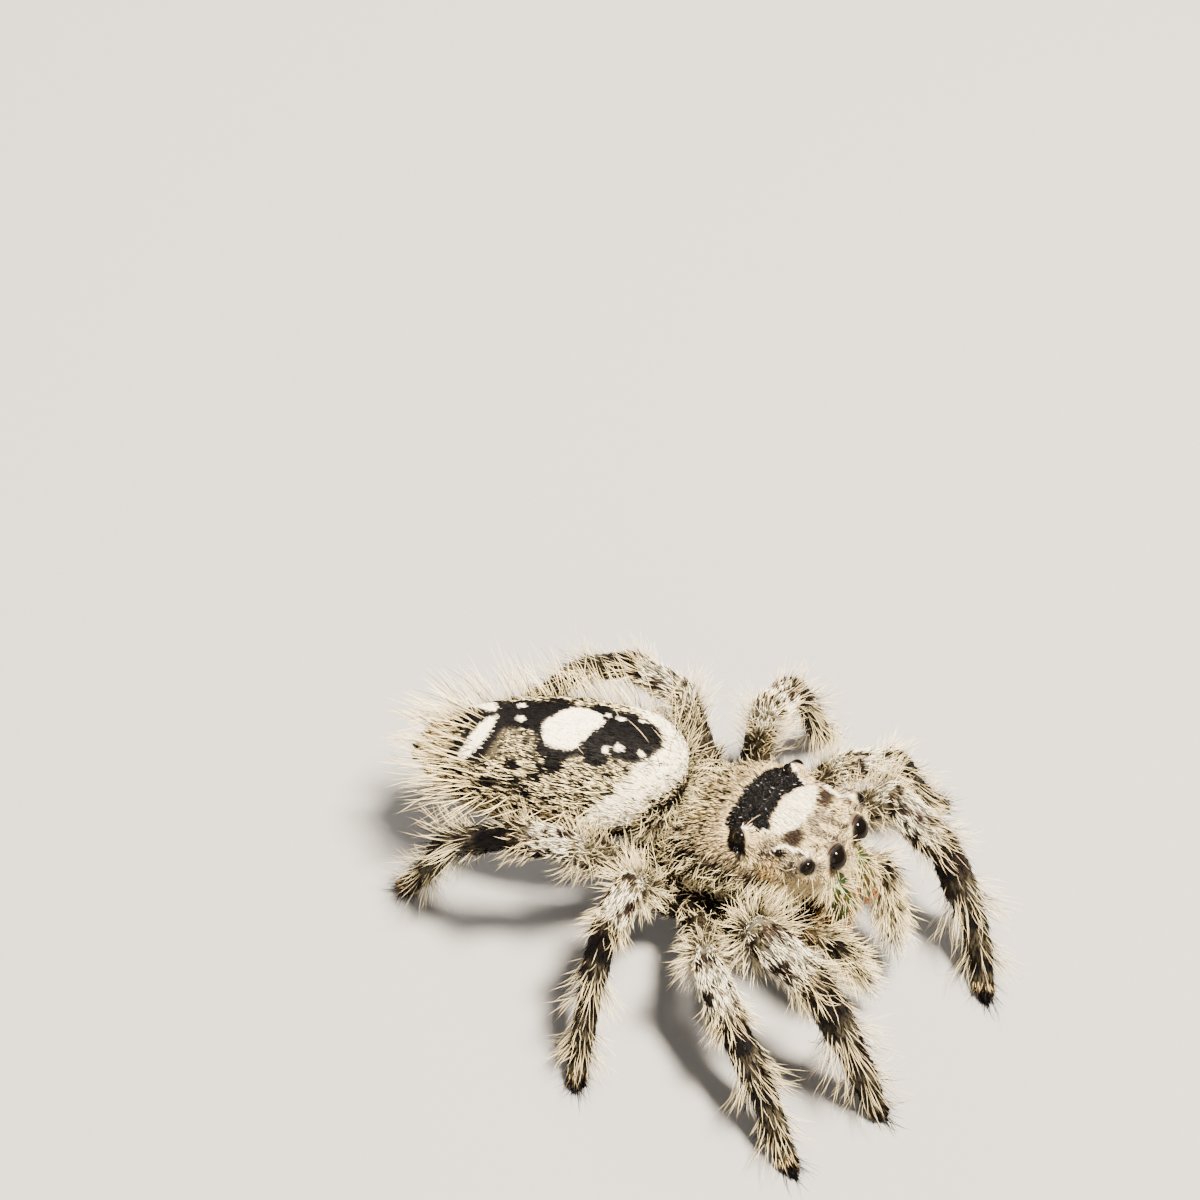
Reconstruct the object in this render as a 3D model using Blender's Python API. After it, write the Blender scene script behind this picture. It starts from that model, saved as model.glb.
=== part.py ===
"""A grey jumping spider, life size, standing still with its body bent a little to its right.

Metres, +Z up. The head faces -Y, the spider's right side is -X, and the origin is on the floor
below the middle of its box. Every solid reaches to the tips of the lying coat.
"""
import math

import bmesh
import bpy
from mathutils import Euler, Matrix, Vector

MM = 0.001
GAP = 0.02 * MM                  # clearance between pieces that touch
SHARP_EDGE = math.radians(50)    # a steeper fold than this keeps a hard edge

# Where the body stands: the middle of the whole stance is brought over the origin
STANCE_SHIFT = Vector((0.342, -0.003, 0)) * MM

# Head and thorax, one stiff carapace, tipped back as the spider looks up
HEAD_PLACE = Vector((0.0, -0.20, 2.20)) * MM
HEAD_TILT_BACK = math.radians(12)
HEAD_ROLL = math.radians(2.5)
CARAPACE_SIDES = 24
# along the body, half width, top, bottom, squareness of the upper half (1 round, 0 square)
CARAPACE_STATIONS = (
    (-2.26, 0.74, 0.86, 0.42, 0.75),
    (-2.18, 0.93, 1.02, 0.32, 0.62),
    (-1.92, 1.08, 1.10, 0.29, 0.58),
    (-1.71, 1.11, 1.13, 0.27, 0.60),
    (-1.64, 1.12, 1.14, -0.30, 0.62),
    (-1.20, 1.20, 1.17, -0.48, 0.66),
    (-0.65, 1.33, 1.18, -0.60, 0.70),
    (0.00, 1.40, 1.05, -0.66, 0.78),
    (0.50, 1.34, 0.74, -0.66, 0.84),
    (0.92, 1.10, 0.35, -0.60, 0.90),
    (1.18, 0.74, 0.00, -0.52, 1.00),
    (1.27, 0.42, -0.20, -0.46, 1.00),
)
CARAPACE_WIDEST = 0.36           # height of the widest level, as a share of the section
CARAPACE_UNDER = 0.9             # squareness below the widest level

# Eyes, in the head's own frame: sideways, along, up, radius, and segments round
EYES = {
    "anterior_median": (0.389, -2.160, 0.79, 0.250, 12),
    "anterior_lateral": (0.904, -1.925, 0.92, 0.160, 12),
    "posterior_median": (0.930, -1.390, 0.98, 0.065, 8),
    "posterior_lateral": (0.990, -0.650, 1.02, 0.150, 12),
}

# Chelicerae, in the head's frame: height, forward place, half width, half depth
CHELICERA_SIDE = 0.355
CHELICERA_SIDES = 12
CHELICERA_STATIONS = (
    (0.24, -2.07, 0.28, 0.26),
    (0.05, -2.17, 0.33, 0.37),
    (-0.28, -2.26, 0.33, 0.43),
    (-0.62, -2.26, 0.32, 0.39),
    (-0.88, -2.20, 0.28, 0.30),
    (-1.04, -2.15, 0.19, 0.19),
)

# Breastplate under the thorax, on the floor's frame
STERNUM_PLACE = Vector((0.0, -0.12, 1.17)) * MM
STERNUM_HALF_SIZE = (0.56, 1.22, 0.23)
PLATE_SEGMENTS = 12
COXA_START_SIDE = 0.36           # coxae run from here out to the hips
COXA_START_ALONG = 0.80          # and start at this share of the hip's place along the body
COXA_RADIUS = 0.27

# Waist and abdomen
PEDICEL_START = Vector((0.02, 1.05, 1.50)) * MM
PEDICEL_END = Vector((-0.02, 1.19, 1.50)) * MM
PEDICEL_RADIUS = 0.16
ABDOMEN_PLACE = Vector((-0.922, 3.155, 2.17)) * MM
ABDOMEN_TURN = math.radians(30)
ABDOMEN_TILT = math.radians(2)
ABDOMEN_HALF_LENGTH = 2.46
ABDOMEN_HALF_WIDTH = 1.39
ABDOMEN_TOP = 1.32
ABDOMEN_BOTTOM = 1.22
ABDOMEN_EGG = 0.12               # fuller in the front than at the spinnerets
ABDOMEN_BROW = 0.40              # the front bulges upward over the waist
ABDOMEN_BLUNT = 0.78             # 1 an ellipse, less is blunter at both ends
ABDOMEN_ENDS = (0.06, 0.93)      # first and last ring, as shares of the half turn end to end
ABDOMEN_RINGS = 15
ABDOMEN_SIDES = 24
SPINNERET_LENGTH = 0.34
SPINNERET_RADII = (0.24, 0.23, 0.12)
SPINNERET_DROP = 0.10            # they sit this far below the abdomen's axis
SPINNERET_SAG = 0.10             # and droop this much to their tips

# Legs. One row for each pair: hip place on the left side (out, along, up), the five segments'
# lengths, their radii at mid length, and the radii at the hip, the joints and the toe
SEGMENTS = ("femur", "patella", "tibia", "metatarsus", "tarsus")
LEG_SIDES = 10
LEG_PAIRS = {
    1: {"hip": (1.22, -1.06, 1.22), "lengths": (1.95, 1.42, 1.38, 0.95, 0.66),
        "middles": (0.41, 0.48, 0.45, 0.36, 0.28), "joints": (0.28, 0.38, 0.40, 0.36, 0.29, 0.15)},
    2: {"hip": (1.38, -0.34, 1.18), "lengths": (1.75, 1.25, 1.15, 0.90, 0.62),
        "middles": (0.37, 0.43, 0.40, 0.34, 0.27), "joints": (0.26, 0.36, 0.37, 0.33, 0.28, 0.15)},
    3: {"hip": (1.38, 0.28, 1.12), "lengths": (1.90, 1.00, 1.10, 1.12, 0.66),
        "middles": (0.38, 0.41, 0.37, 0.31, 0.26), "joints": (0.28, 0.35, 0.35, 0.31, 0.27, 0.15)},
    4: {"hip": (1.20, 0.90, 1.08), "lengths": (2.20, 1.15, 1.50, 1.35, 0.72),
        "middles": (0.41, 0.42, 0.38, 0.33, 0.27), "joints": (0.29, 0.36, 0.35, 0.31, 0.28, 0.15)},
}
# The stance, in degrees for each segment: its heading (0 straight out to the side, 90 toward
# the head) and its rise. The last segment has only a heading, for it reaches down to the floor
STANCE = {
    ("right", 1): ((43, 55), (85, -16), (90, -53), (89, -56), (82,)),
    ("left", 1): ((56, 47), (88, -25), (101, -48), (123, -41), (137,)),
    ("right", 2): ((34, 30), (62, -25), (67, -31), (65, -37), (64,)),
    ("left", 2): ((50, 53), (37, -18), (31, -61), (30, -57), (32,)),
    ("right", 3): ((-14, 53), (6, -20), (21, -52), (28, -54), (28,)),
    ("left", 3): ((-24, 66), (6, -20), (19, -58), (24, -66), (25,)),
    ("right", 4): ((-37, 44), (-53, 16), (-78, -42), (-75, -72), (-63,)),
    ("left", 4): ((-84, 60), (-88, -4), (-87, -46), (-84, -64), (-82,)),
}
# Swell of a segment from end to end: place along it and share of the way from end to middle
SEGMENT_SWELL = ((0.0, 0.0), (0.14, 0.70), (0.38, 1.0), (0.66, 1.0), (0.88, 0.55), (1.0, 0.0))
TOE_LIFT = 0.03 * MM             # only the toe's end face meets the floor
TOE_REACH = 4.0                  # its end face is cut level, however long that makes its heel
JOINT_REACH = 0.45               # how far a bent joint's outer side may run past it, in radii

# Palps, beside the chelicerae: base, knee and tip on the left side, and the three radii
PALP_POINTS = ((0.84, -1.70, 1.60), (0.98, -2.72, 2.08), (0.52, -3.52, 0.84))
PALP_RADII = (0.20, 0.26, 0.17)
PALP_MIDDLES = (0.24, 0.29)

# Coat and shell colours: base colour and roughness
FINISHES = {
    "coat": ((0.56, 0.49, 0.39), 0.85),
    "abdomen_coat": ((0.66, 0.60, 0.48), 0.85),
    "leg_coat": ((0.46, 0.42, 0.35), 0.85),
    "shell": ((0.035, 0.030, 0.028), 0.45),
    "chelicera": ((0.05, 0.20, 0.07), 0.25),
    "eye": ((0.006, 0.006, 0.008), 0.08),
}

SIDE_SIGN = {"left": 1, "right": -1}


def clear_scene():
    for item in list(bpy.data.objects):
        bpy.data.objects.remove(item, do_unlink=True)


def make_material(name, finish):
    colour, roughness = FINISHES[finish]
    material = bpy.data.materials.new(name)
    material.use_nodes = True
    shader = material.node_tree.nodes["Principled BSDF"]
    shader.inputs["Base Color"].default_value = (*colour, 1)
    shader.inputs["Roughness"].default_value = roughness
    shader.inputs["Metallic"].default_value = 0
    material.diffuse_color = (*colour, 1)
    return material


def make_object(name, form, finish, parent=None):
    """Turn a bmesh into a smooth named object with its own material."""
    bmesh.ops.recalc_face_normals(form, faces=form.faces)
    mesh = bpy.data.meshes.new(name)
    form.to_mesh(mesh)
    form.free()
    mesh.shade_smooth()
    mesh.set_sharp_from_angle(angle=SHARP_EDGE)
    mesh.materials.append(make_material(name, finish))
    item = bpy.data.objects.new(name, mesh)
    bpy.context.scene.collection.objects.link(item)
    item.parent = parent
    return item


def make_empty(name, place, turn):
    item = bpy.data.objects.new(name, None)
    item.location = place
    item.rotation_euler = turn
    bpy.context.scene.collection.objects.link(item)
    return item


def loft(rings):
    """Bridge rings of points into one closed bmesh with a flat cap at each end."""
    form = bmesh.new()
    loops = []
    for ring in rings:
        made = bmesh.ops.create_circle(form, segments=len(ring), radius=MM)
        for corner, point in zip(made["verts"], ring):
            corner.co = point
        edges = {edge for corner in made["verts"] for edge in corner.link_edges}
        loops.append(list(edges))
    for first, second in zip(loops, loops[1:]):
        bmesh.ops.bridge_loops(form, edges=first + second)
    for loop in (loops[0], loops[-1]):
        bmesh.ops.contextual_create(form, geom=loop)
    return form


def around(count):
    return [2 * math.pi * step / count for step in range(count)]


def rounded(value, squareness):
    return math.copysign(abs(value) ** squareness, value)


def mix(first, second, share):
    return first + (second - first) * share


def carapace_ring(station):
    along, half_width, top, bottom, squareness = station
    widest = mix(bottom, top, CARAPACE_WIDEST)
    ring = []
    for angle in around(CARAPACE_SIDES):
        side, rise = math.cos(angle), math.sin(angle)
        if rise > 0:
            height = mix(widest, top, rounded(rise, squareness))
            out = half_width * rounded(side, squareness)
        else:
            height = mix(widest, bottom, -rise)
            out = half_width * rounded(side, CARAPACE_UNDER)
        ring.append(Vector((out, along, height)) * MM)
    return ring


def make_eye_form(row, sign, margin):
    out, along, height, radius, segments = row
    place = Vector((sign * out, along, height)) * MM
    form = bmesh.new()
    bmesh.ops.create_uvsphere(form, u_segments=segments, v_segments=segments // 2 + 1,
                              radius=radius * MM + margin, matrix=Matrix.Translation(place))
    return form


def make_carapace(head):
    """The carapace, with a round socket for each eye."""
    item = make_object("carapace", loft([carapace_ring(row) for row in CARAPACE_STATIONS]),
                       "coat", head)
    for name, row in EYES.items():
        for side, sign in SIDE_SIGN.items():
            socket = make_object(f"socket_{name}_{side}", make_eye_form(row, sign, GAP),
                                 "shell", head)
            socket.hide_render = True
            socket.display_type = "WIRE"
            cut = item.modifiers.new(f"socket_{name}_{side}", "BOOLEAN")
            cut.operation = "DIFFERENCE"
            cut.object = socket


def make_eyes(head):
    for name, row in EYES.items():
        for side, sign in SIDE_SIGN.items():
            make_object(f"eye_{name}_{side}", make_eye_form(row, sign, 0), "eye", head)


def make_chelicerae(head):
    for side, sign in SIDE_SIGN.items():
        rings = []
        for height, along, half_width, half_depth in CHELICERA_STATIONS:
            rings.append([Vector((sign * CHELICERA_SIDE + half_width * math.cos(angle),
                                  along + half_depth * math.sin(angle), height)) * MM
                          for angle in around(CHELICERA_SIDES)])
        make_object(f"chelicera_{side}", loft(rings), "chelicera", head)


def mitre_normal(before, after):
    return (before + after).normalized()


def segment_rings(start, end, start_normal, end_normal, radii, reach, reach_end):
    """Rings of a limb segment whose end faces lie in the mitre planes of its joints."""
    run = end - start
    length = run.length
    heading = run.normalized()
    side = heading.cross(Vector((0, 0, 1))).normalized()
    up = side.cross(heading)
    start_radius, middle_radius, end_radius = radii
    rings = []
    for place, swell in SEGMENT_SWELL:
        end_share = start_radius if place < 0.5 else end_radius
        radius = mix(end_share, middle_radius, swell)
        ring = []
        for angle in around(LEG_SIDES):
            spoke = side * math.cos(angle) + up * math.sin(angle)
            first = -start_normal.dot(spoke) * start_radius / start_normal.dot(heading)
            last = -end_normal.dot(spoke) * end_radius / end_normal.dot(heading)
            first = max(first, -reach * start_radius) + GAP
            last = min(last, reach_end * end_radius) - GAP
            ring.append(start + heading * mix(first, length + last, place) + spoke * radius)
        rings.append(ring)
    return rings


def leg_points(side, pair):
    """Hip, joints and toe of one leg; the tarsus reaches from its joint down to the floor."""
    sign = SIDE_SIGN[side]
    row = LEG_PAIRS[pair]
    out, along, height = row["hip"]
    points = [Vector((sign * out, along, height)) * MM]
    for length, angles in zip(row["lengths"], STANCE[(side, pair)]):
        heading = math.radians(angles[0])
        if len(angles) == 2:
            rise = math.radians(angles[1])
        else:
            rise = -math.asin(points[-1].z / (length * MM))
        step = Vector((sign * math.cos(heading) * math.cos(rise),
                       -math.sin(heading) * math.cos(rise), math.sin(rise)))
        points.append(points[-1] + step * length * MM)
    return points


def coxa_start(hip):
    sign = math.copysign(1, hip.x)
    return Vector((sign * COXA_START_SIDE * MM, hip.y * COXA_START_ALONG, hip.z))


def make_leg(side, pair, body):
    row = LEG_PAIRS[pair]
    points = leg_points(side, pair)
    headings = [(points[0] - coxa_start(points[0])).normalized()]
    headings += [(b - a).normalized() for a, b in zip(points, points[1:])]
    normals = [mitre_normal(a, b) for a, b in zip(headings, headings[1:])]
    normals.append(Vector((0, 0, -1)))
    for index, segment in enumerate(SEGMENTS):
        radii = (row["joints"][index] * MM, row["middles"][index] * MM,
                 row["joints"][index + 1] * MM)
        toe = TOE_REACH if segment == "tarsus" else JOINT_REACH
        rings = segment_rings(points[index], points[index + 1], normals[index],
                              normals[index + 1], radii, JOINT_REACH, toe)
        if segment == "tarsus":
            for ring in rings:
                for corner in ring:
                    corner.z = 0 if ring is rings[-1] else max(corner.z, TOE_LIFT)
        make_object(f"leg_{side}_{pair}_{segment}", loft(rings), "leg_coat", body)


def make_sternum(body):
    """The breastplate, with the eight short coxae that carry the legs grown onto it."""
    form = bmesh.new()
    plate = Matrix.Translation(STERNUM_PLACE) @ Matrix.Diagonal((*STERNUM_HALF_SIZE, 1))
    bmesh.ops.create_uvsphere(form, u_segments=PLATE_SEGMENTS,
                              v_segments=PLATE_SEGMENTS // 2, radius=MM, matrix=plate)
    item = make_object("sternum", form, "shell", body)
    for side, pair in STANCE:
        points = leg_points(side, pair)
        hip = points[0]
        start = coxa_start(hip)
        normal = mitre_normal((hip - start).normalized(), (points[1] - hip).normalized())
        radii = (COXA_RADIUS * MM, COXA_RADIUS * MM, COXA_RADIUS * MM)
        rings = segment_rings(start, hip, (hip - start).normalized(), normal, radii,
                              JOINT_REACH, JOINT_REACH)
        coxa = make_object(f"coxa_{side}_{pair}", loft(rings), "shell", body)
        coxa.hide_render = True
        coxa.display_type = "WIRE"
        grow = item.modifiers.new(f"coxa_{side}_{pair}", "BOOLEAN")
        grow.operation = "UNION"
        grow.object = coxa


def make_palp(side, body):
    sign = SIDE_SIGN[side]
    base, knee, tip = [Vector((sign * out, along, height)) * MM
                       for out, along, height in PALP_POINTS]
    upper, lower = (knee - base).normalized(), (tip - knee).normalized()
    bend = mitre_normal(upper, lower)
    base_radius, knee_radius, tip_radius = [radius * MM for radius in PALP_RADII]
    first = segment_rings(base, knee, upper, bend,
                          (base_radius, PALP_MIDDLES[0] * MM, knee_radius),
                          JOINT_REACH, JOINT_REACH)
    second = segment_rings(knee, tip, bend, lower,
                           (knee_radius, PALP_MIDDLES[1] * MM, tip_radius),
                           JOINT_REACH, JOINT_REACH)
    make_object(f"palp_{side}_femur", loft(first), "leg_coat", body)
    make_object(f"palp_{side}_tarsus", loft(second), "leg_coat", body)


def make_pedicel(body):
    run = (PEDICEL_END - PEDICEL_START).normalized()
    radii = (PEDICEL_RADIUS * MM, PEDICEL_RADIUS * MM, PEDICEL_RADIUS * MM)
    rings = segment_rings(PEDICEL_START, PEDICEL_END, run, run, radii, 1, 1)
    make_object("pedicel", loft(rings), "shell", body)


def make_abdomen(body):
    """An egg, blunt in front, a little flatter underneath, with the spinnerets behind."""
    frame = make_empty("abdomen_frame", ABDOMEN_PLACE, Euler((ABDOMEN_TILT, 0, ABDOMEN_TURN)))
    frame.parent = body
    rings = []
    for step in range(ABDOMEN_RINGS):
        angle = mix(*ABDOMEN_ENDS, step / (ABDOMEN_RINGS - 1)) * math.pi
        along = -ABDOMEN_HALF_LENGTH * math.cos(angle)
        girth = math.sin(angle) ** ABDOMEN_BLUNT * (1 + ABDOMEN_EGG * math.cos(angle))
        lift = ABDOMEN_BROW * max(0, math.cos(angle)) ** 2
        ring = []
        for turn in around(ABDOMEN_SIDES):
            height = ABDOMEN_TOP if math.sin(turn) > 0 else ABDOMEN_BOTTOM
            ring.append(Vector((ABDOMEN_HALF_WIDTH * girth * math.cos(turn), along,
                                height * girth * math.sin(turn) + lift)) * MM)
        rings.append(ring)
    make_object("abdomen", loft(rings), "abdomen_coat", frame)
    last_along = rings[-1][0].y
    start = Vector((0, last_along, -SPINNERET_DROP * MM))
    end = start + Vector((0, SPINNERET_LENGTH, -SPINNERET_SAG)) * MM
    run = Vector((0, 1, 0))
    radii = [radius * MM for radius in SPINNERET_RADII]
    make_object("spinnerets", loft(segment_rings(start, end, run, run, radii, 1, 1)),
                "shell", frame)


def main():
    clear_scene()
    body = make_empty("spider", STANCE_SHIFT, Euler((0, 0, 0)))
    head = make_empty("head_frame", HEAD_PLACE, Euler((-HEAD_TILT_BACK, HEAD_ROLL, 0)))
    head.parent = body
    make_carapace(head)
    make_eyes(head)
    make_chelicerae(head)
    make_sternum(body)
    make_pedicel(body)
    make_abdomen(body)
    for side in SIDE_SIGN:
        make_palp(side, body)
        for pair in LEG_PAIRS:
            make_leg(side, pair, body)


main()
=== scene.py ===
import math

import bmesh
import bpy
import numpy as np
from mathutils import Euler, Matrix, Vector
from mathutils.bvhtree import BVHTree


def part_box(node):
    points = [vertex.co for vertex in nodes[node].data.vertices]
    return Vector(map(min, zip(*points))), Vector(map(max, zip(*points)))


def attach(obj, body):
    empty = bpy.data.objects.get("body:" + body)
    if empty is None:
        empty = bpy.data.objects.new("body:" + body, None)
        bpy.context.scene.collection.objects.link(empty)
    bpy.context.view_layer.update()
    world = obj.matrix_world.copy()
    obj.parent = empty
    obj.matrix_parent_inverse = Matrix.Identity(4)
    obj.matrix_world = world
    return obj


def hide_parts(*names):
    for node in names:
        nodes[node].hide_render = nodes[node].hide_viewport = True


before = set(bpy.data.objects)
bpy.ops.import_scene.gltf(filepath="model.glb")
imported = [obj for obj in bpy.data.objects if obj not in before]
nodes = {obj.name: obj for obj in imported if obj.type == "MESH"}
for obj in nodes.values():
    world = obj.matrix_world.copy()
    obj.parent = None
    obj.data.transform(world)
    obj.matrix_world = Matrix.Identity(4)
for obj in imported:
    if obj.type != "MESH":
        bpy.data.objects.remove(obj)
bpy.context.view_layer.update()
mm = 0.001                       # shapes are worked in millimetres and made metres at the end
sides = {"left": 1, "right": -1}
segments = ("femur", "patella", "tibia", "metatarsus", "tarsus")


# small helpers

def linear(red, green, blue):
    # a paint chart's 0 to 255 values as the shader's linear ones
    shares = np.array((red, green, blue)) / 255
    return np.where(shares <= 0.04045, shares / 12.92, ((shares + 0.055) / 1.055) ** 2.4)


paintChart = {
    "white": (255, 247, 224), "cream": (255, 236, 188), "sand": (222, 190, 136), "beige": (241, 217, 170),
    # the silver tone is a painted highlight, used for glints on the head's black band
    "pink": (250, 228, 182), "grey": (168, 154, 134), "paintedGlint": (158, 162, 168), "amber": (216, 152, 88),
    "brown": (112, 76, 48), "rust": (140, 70, 34), "umber": (60, 49, 42), "dark": (46, 38, 32),
    "black": (10, 9, 11),
}
tones = {name: linear(*tone) for name, tone in paintChart.items()}


def softStep(value, low, high):
    share = np.clip((value - low) / (high - low), 0, 1)
    return share * share * (3 - 2 * share)


def fade(value, low, high):
    return 1 - softStep(value, low, high)


def mottle(points, size, seed):
    # smooth blotches between 0 and 1, about as wide as size
    random = np.random.default_rng(seed)
    waves = random.normal(size=(7, 3)) / size
    phases = random.uniform(0, 2 * math.pi, 7)
    total = np.sin(points @ waves.T * 1.6 + phases).sum(1)
    return np.clip(0.5 + total / 6, 0, 1)


def unit(vectors):
    return vectors / np.maximum(np.linalg.norm(vectors, axis=1, keepdims=True), 1e-9)


def readAll(items, field, kind=np.float32):
    values = np.empty(len(items) * 3, kind)
    items.foreach_get(field, values)
    return values.reshape(-1, 3)


def corners(name):
    points = readAll(nodes[name].data.vertices, "co").astype(float) / mm
    return np.unique(np.round(points, 4), axis=0)


def ringBetween(first, second, reach=0.13):
    # the corners where one node's end faces the next one's
    here, there = corners(first), corners(second)
    gaps = np.linalg.norm(here[:, None] - there[None], axis=2)
    return np.vstack([here[gaps.min(1) < reach], there[gaps.min(0) < reach]])


def boxMid(name):
    low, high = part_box(name)
    return np.array((low + high) / 2) / mm


def nodeForm(name):
    form = bmesh.new()
    form.from_mesh(nodes[name].data)
    bmesh.ops.scale(form, vec=(1 / mm,) * 3, verts=form.verts)
    bmesh.ops.remove_doubles(form, verts=form.verts, dist=0.002)
    form.normal_update()
    return form


def toMesh(form, name):
    mesh = bpy.data.meshes.new(name)
    form.to_mesh(mesh)
    form.free()
    return mesh


def addForm(whole, part):
    mesh = toMesh(part, "part")
    whole.from_mesh(mesh)
    bpy.data.meshes.remove(mesh)


def addBall(form, place, radius, cuts=3):
    bmesh.ops.create_icosphere(form, subdivisions=cuts, radius=radius, matrix=Matrix.Translation(place))


def smoothForm(form, rounds):
    for _ in range(rounds):
        bmesh.ops.smooth_vert(form, verts=form.verts, factor=0.5,
                              use_axis_x=True, use_axis_y=True, use_axis_z=True)


def addItem(name, data):
    item = bpy.data.objects.new(name, data)
    bpy.context.scene.collection.objects.link(item)
    return item


def addPiece(name, mesh, finish):
    mesh.shade_smooth()
    mesh.materials.append(finishes[finish])
    piece = addItem(name, mesh)
    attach(piece, "root")
    return piece


def finishPiece(name, form, finish, replaced=()):
    # a form in millimetres becomes a smooth piece in metres
    bmesh.ops.scale(form, vec=(mm,) * 3, verts=form.verts)
    piece = addPiece(name, toMesh(form, name), finish)
    if replaced:
        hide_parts(*replaced)
    return piece


def giveTint(mesh, shades):
    opaque = np.hstack([shades, np.ones((len(shades), 1))]).astype(np.float32)
    mesh.attributes.new("tint", "FLOAT_COLOR", "POINT").data.foreach_set("color", opaque.ravel())


# materials

def newMaterial(name, sockets):
    material = bpy.data.materials.new(name)
    material.use_nodes = True
    tree = material.node_tree
    shader = tree.nodes["Principled BSDF"]
    for socket, value in sockets.items():
        shader.inputs[socket].default_value = value
    return material, tree, shader


def addNode(tree, kind, **values):
    node = tree.nodes.new(kind)
    for name, value in values.items():
        if name in node.inputs:
            node.inputs[name].default_value = value
        else:
            setattr(node, name, value)
    return node


def makeFinish(name, look):
    material, tree, shader = newMaterial(name, look["sockets"])
    link = tree.links.new
    spot = addNode(tree, "ShaderNodeTexCoord")
    scale, detail, rough = look["grain"]
    grain = addNode(tree, "ShaderNodeTexNoise", Scale=scale, Detail=detail, Roughness=rough)
    link(spot.outputs["Object"], grain.inputs["Vector"])
    ramp = addNode(tree, "ShaderNodeValToRGB")
    while len(ramp.color_ramp.elements) < len(look["shades"]):
        ramp.color_ramp.elements.new(0.5)
    for element, (place, tone) in zip(ramp.color_ramp.elements, look["shades"]):
        element.position = place
        element.color = (*tone, 1)
    link(grain.outputs["Fac"], ramp.inputs["Fac"])
    colour = ramp.outputs["Color"]
    if look.get("tinted"):       # the piece's own tint, made lighter and darker by the grain
        tint = addNode(tree, "ShaderNodeAttribute", attribute_name="tint")
        mixed = addNode(tree, "ShaderNodeMix", data_type="RGBA", blend_type="MULTIPLY")
        mixed.inputs[0].default_value = 1
        link(tint.outputs["Color"], mixed.inputs[6])
        link(colour, mixed.inputs[7])
        colour = mixed.outputs[2]
    link(colour, shader.inputs["Base Color"])
    if "bump" in look:
        depth, strength = look["bump"]
        bump = addNode(tree, "ShaderNodeBump", Strength=strength, Distance=depth * mm)
        link(grain.outputs["Fac"], bump.inputs["Height"])
        link(bump.outputs["Normal"], shader.inputs["Normal"])
    return material


def hairLook(roughness, gloss):
    return {"sockets": {"Roughness": roughness, "Specular IOR Level": gloss}, "grain": (5200, 2, 0.5),
            "shades": ((0.3, (0.86, 0.85, 0.84)), (0.7, (1.0, 1.0, 1.0))), "bump": (0.004, 1), "tinted": True}


finishLooks = {                  # grain: scale, detail and roughness; bump: depth and strength
    "coatHair": hairLook(0.55, 0.04),
    "bristleHair": hairLook(0.4, 0.08),
    "blackScale": hairLook(0.24, 0.09),
    "shell": {"sockets": {"Roughness": 0.55, "Specular IOR Level": 0.04}, "grain": (9000, 4, 0.6),
              "shades": ((0.25, (0.55, 0.54, 0.53)), (0.75, (1.0, 1.0, 1.0))), "bump": (0.03, 0.9),
              "tinted": True},
    "eyeLens": {"sockets": {"Roughness": 0.04, "IOR": 1.4, "Specular IOR Level": 0.13},
                "grain": (1500, 1, 0.5),
                "shades": ((0.35, (0.001, 0.001, 0.001)), (0.8, (0.005, 0.003, 0.002)))},
    "eyeRim": {"sockets": {"Roughness": 0.7, "Specular IOR Level": 0.05}, "grain": (3200, 3, 0.55),
               "shades": ((0.35, tones["black"]), (0.85, tones["rust"] * 0.12)), "bump": (0.012, 0.7)},
    "greenJaw": {"sockets": {"Roughness": 0.36, "Metallic": 0.5, "Specular IOR Level": 0.3},
                 "grain": (1300, 3, 0.55), "bump": (0.012, 0.7),
                 "shades": ((0.25, (0.003, 0.006, 0.003)), (0.45, (0.008, 0.024, 0.006)),
                            (0.62, (0.030, 0.046, 0.008)), (0.80, (0.120, 0.038, 0.012)))},
    "claw": {"sockets": {"Roughness": 0.25, "Specular IOR Level": 0.3}, "grain": (4000, 3, 0.55),
             "shades": ((0.3, tones["black"]), (0.8, tones["brown"] * 0.5)), "bump": (0.012, 0.7)},
}
finishes = {name: makeFinish(name, look) for name, look in finishLooks.items()}
print("materials ready")


# camera, floor and light

studio = {
    "cameraPlace": (-22.17, -8.09, 36.60),
    "cameraAim": (4.76, 5.52, 0.0),
    "cameraRoll": 9.2,
    "lens": 69,
    "clip": (0.001, 20),
    "floorSize": 6000,
    "floorTone": linear(132, 132, 135),
    "worldTone": linear(236, 231, 224),
    "worldStrength": 0.27,
    # name: place, size, watts, tone
    "lights": {
        "key": ((22, -34, 162), 34, 2.95, linear(255, 241, 214)),
        "fill": ((-150, -60, 90), 140, 0.24, linear(252, 247, 238)),
        "rim": ((60, 150, 80), 70, 0.30, linear(255, 246, 230)),
    },
}


def standing(place, aim):
    # stands at place and faces aim
    turn = (Vector(aim) * mm - Vector(place) * mm).to_track_quat("-Z", "Y")
    return Matrix.Translation(Vector(place) * mm) @ turn.to_matrix().to_4x4()


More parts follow.
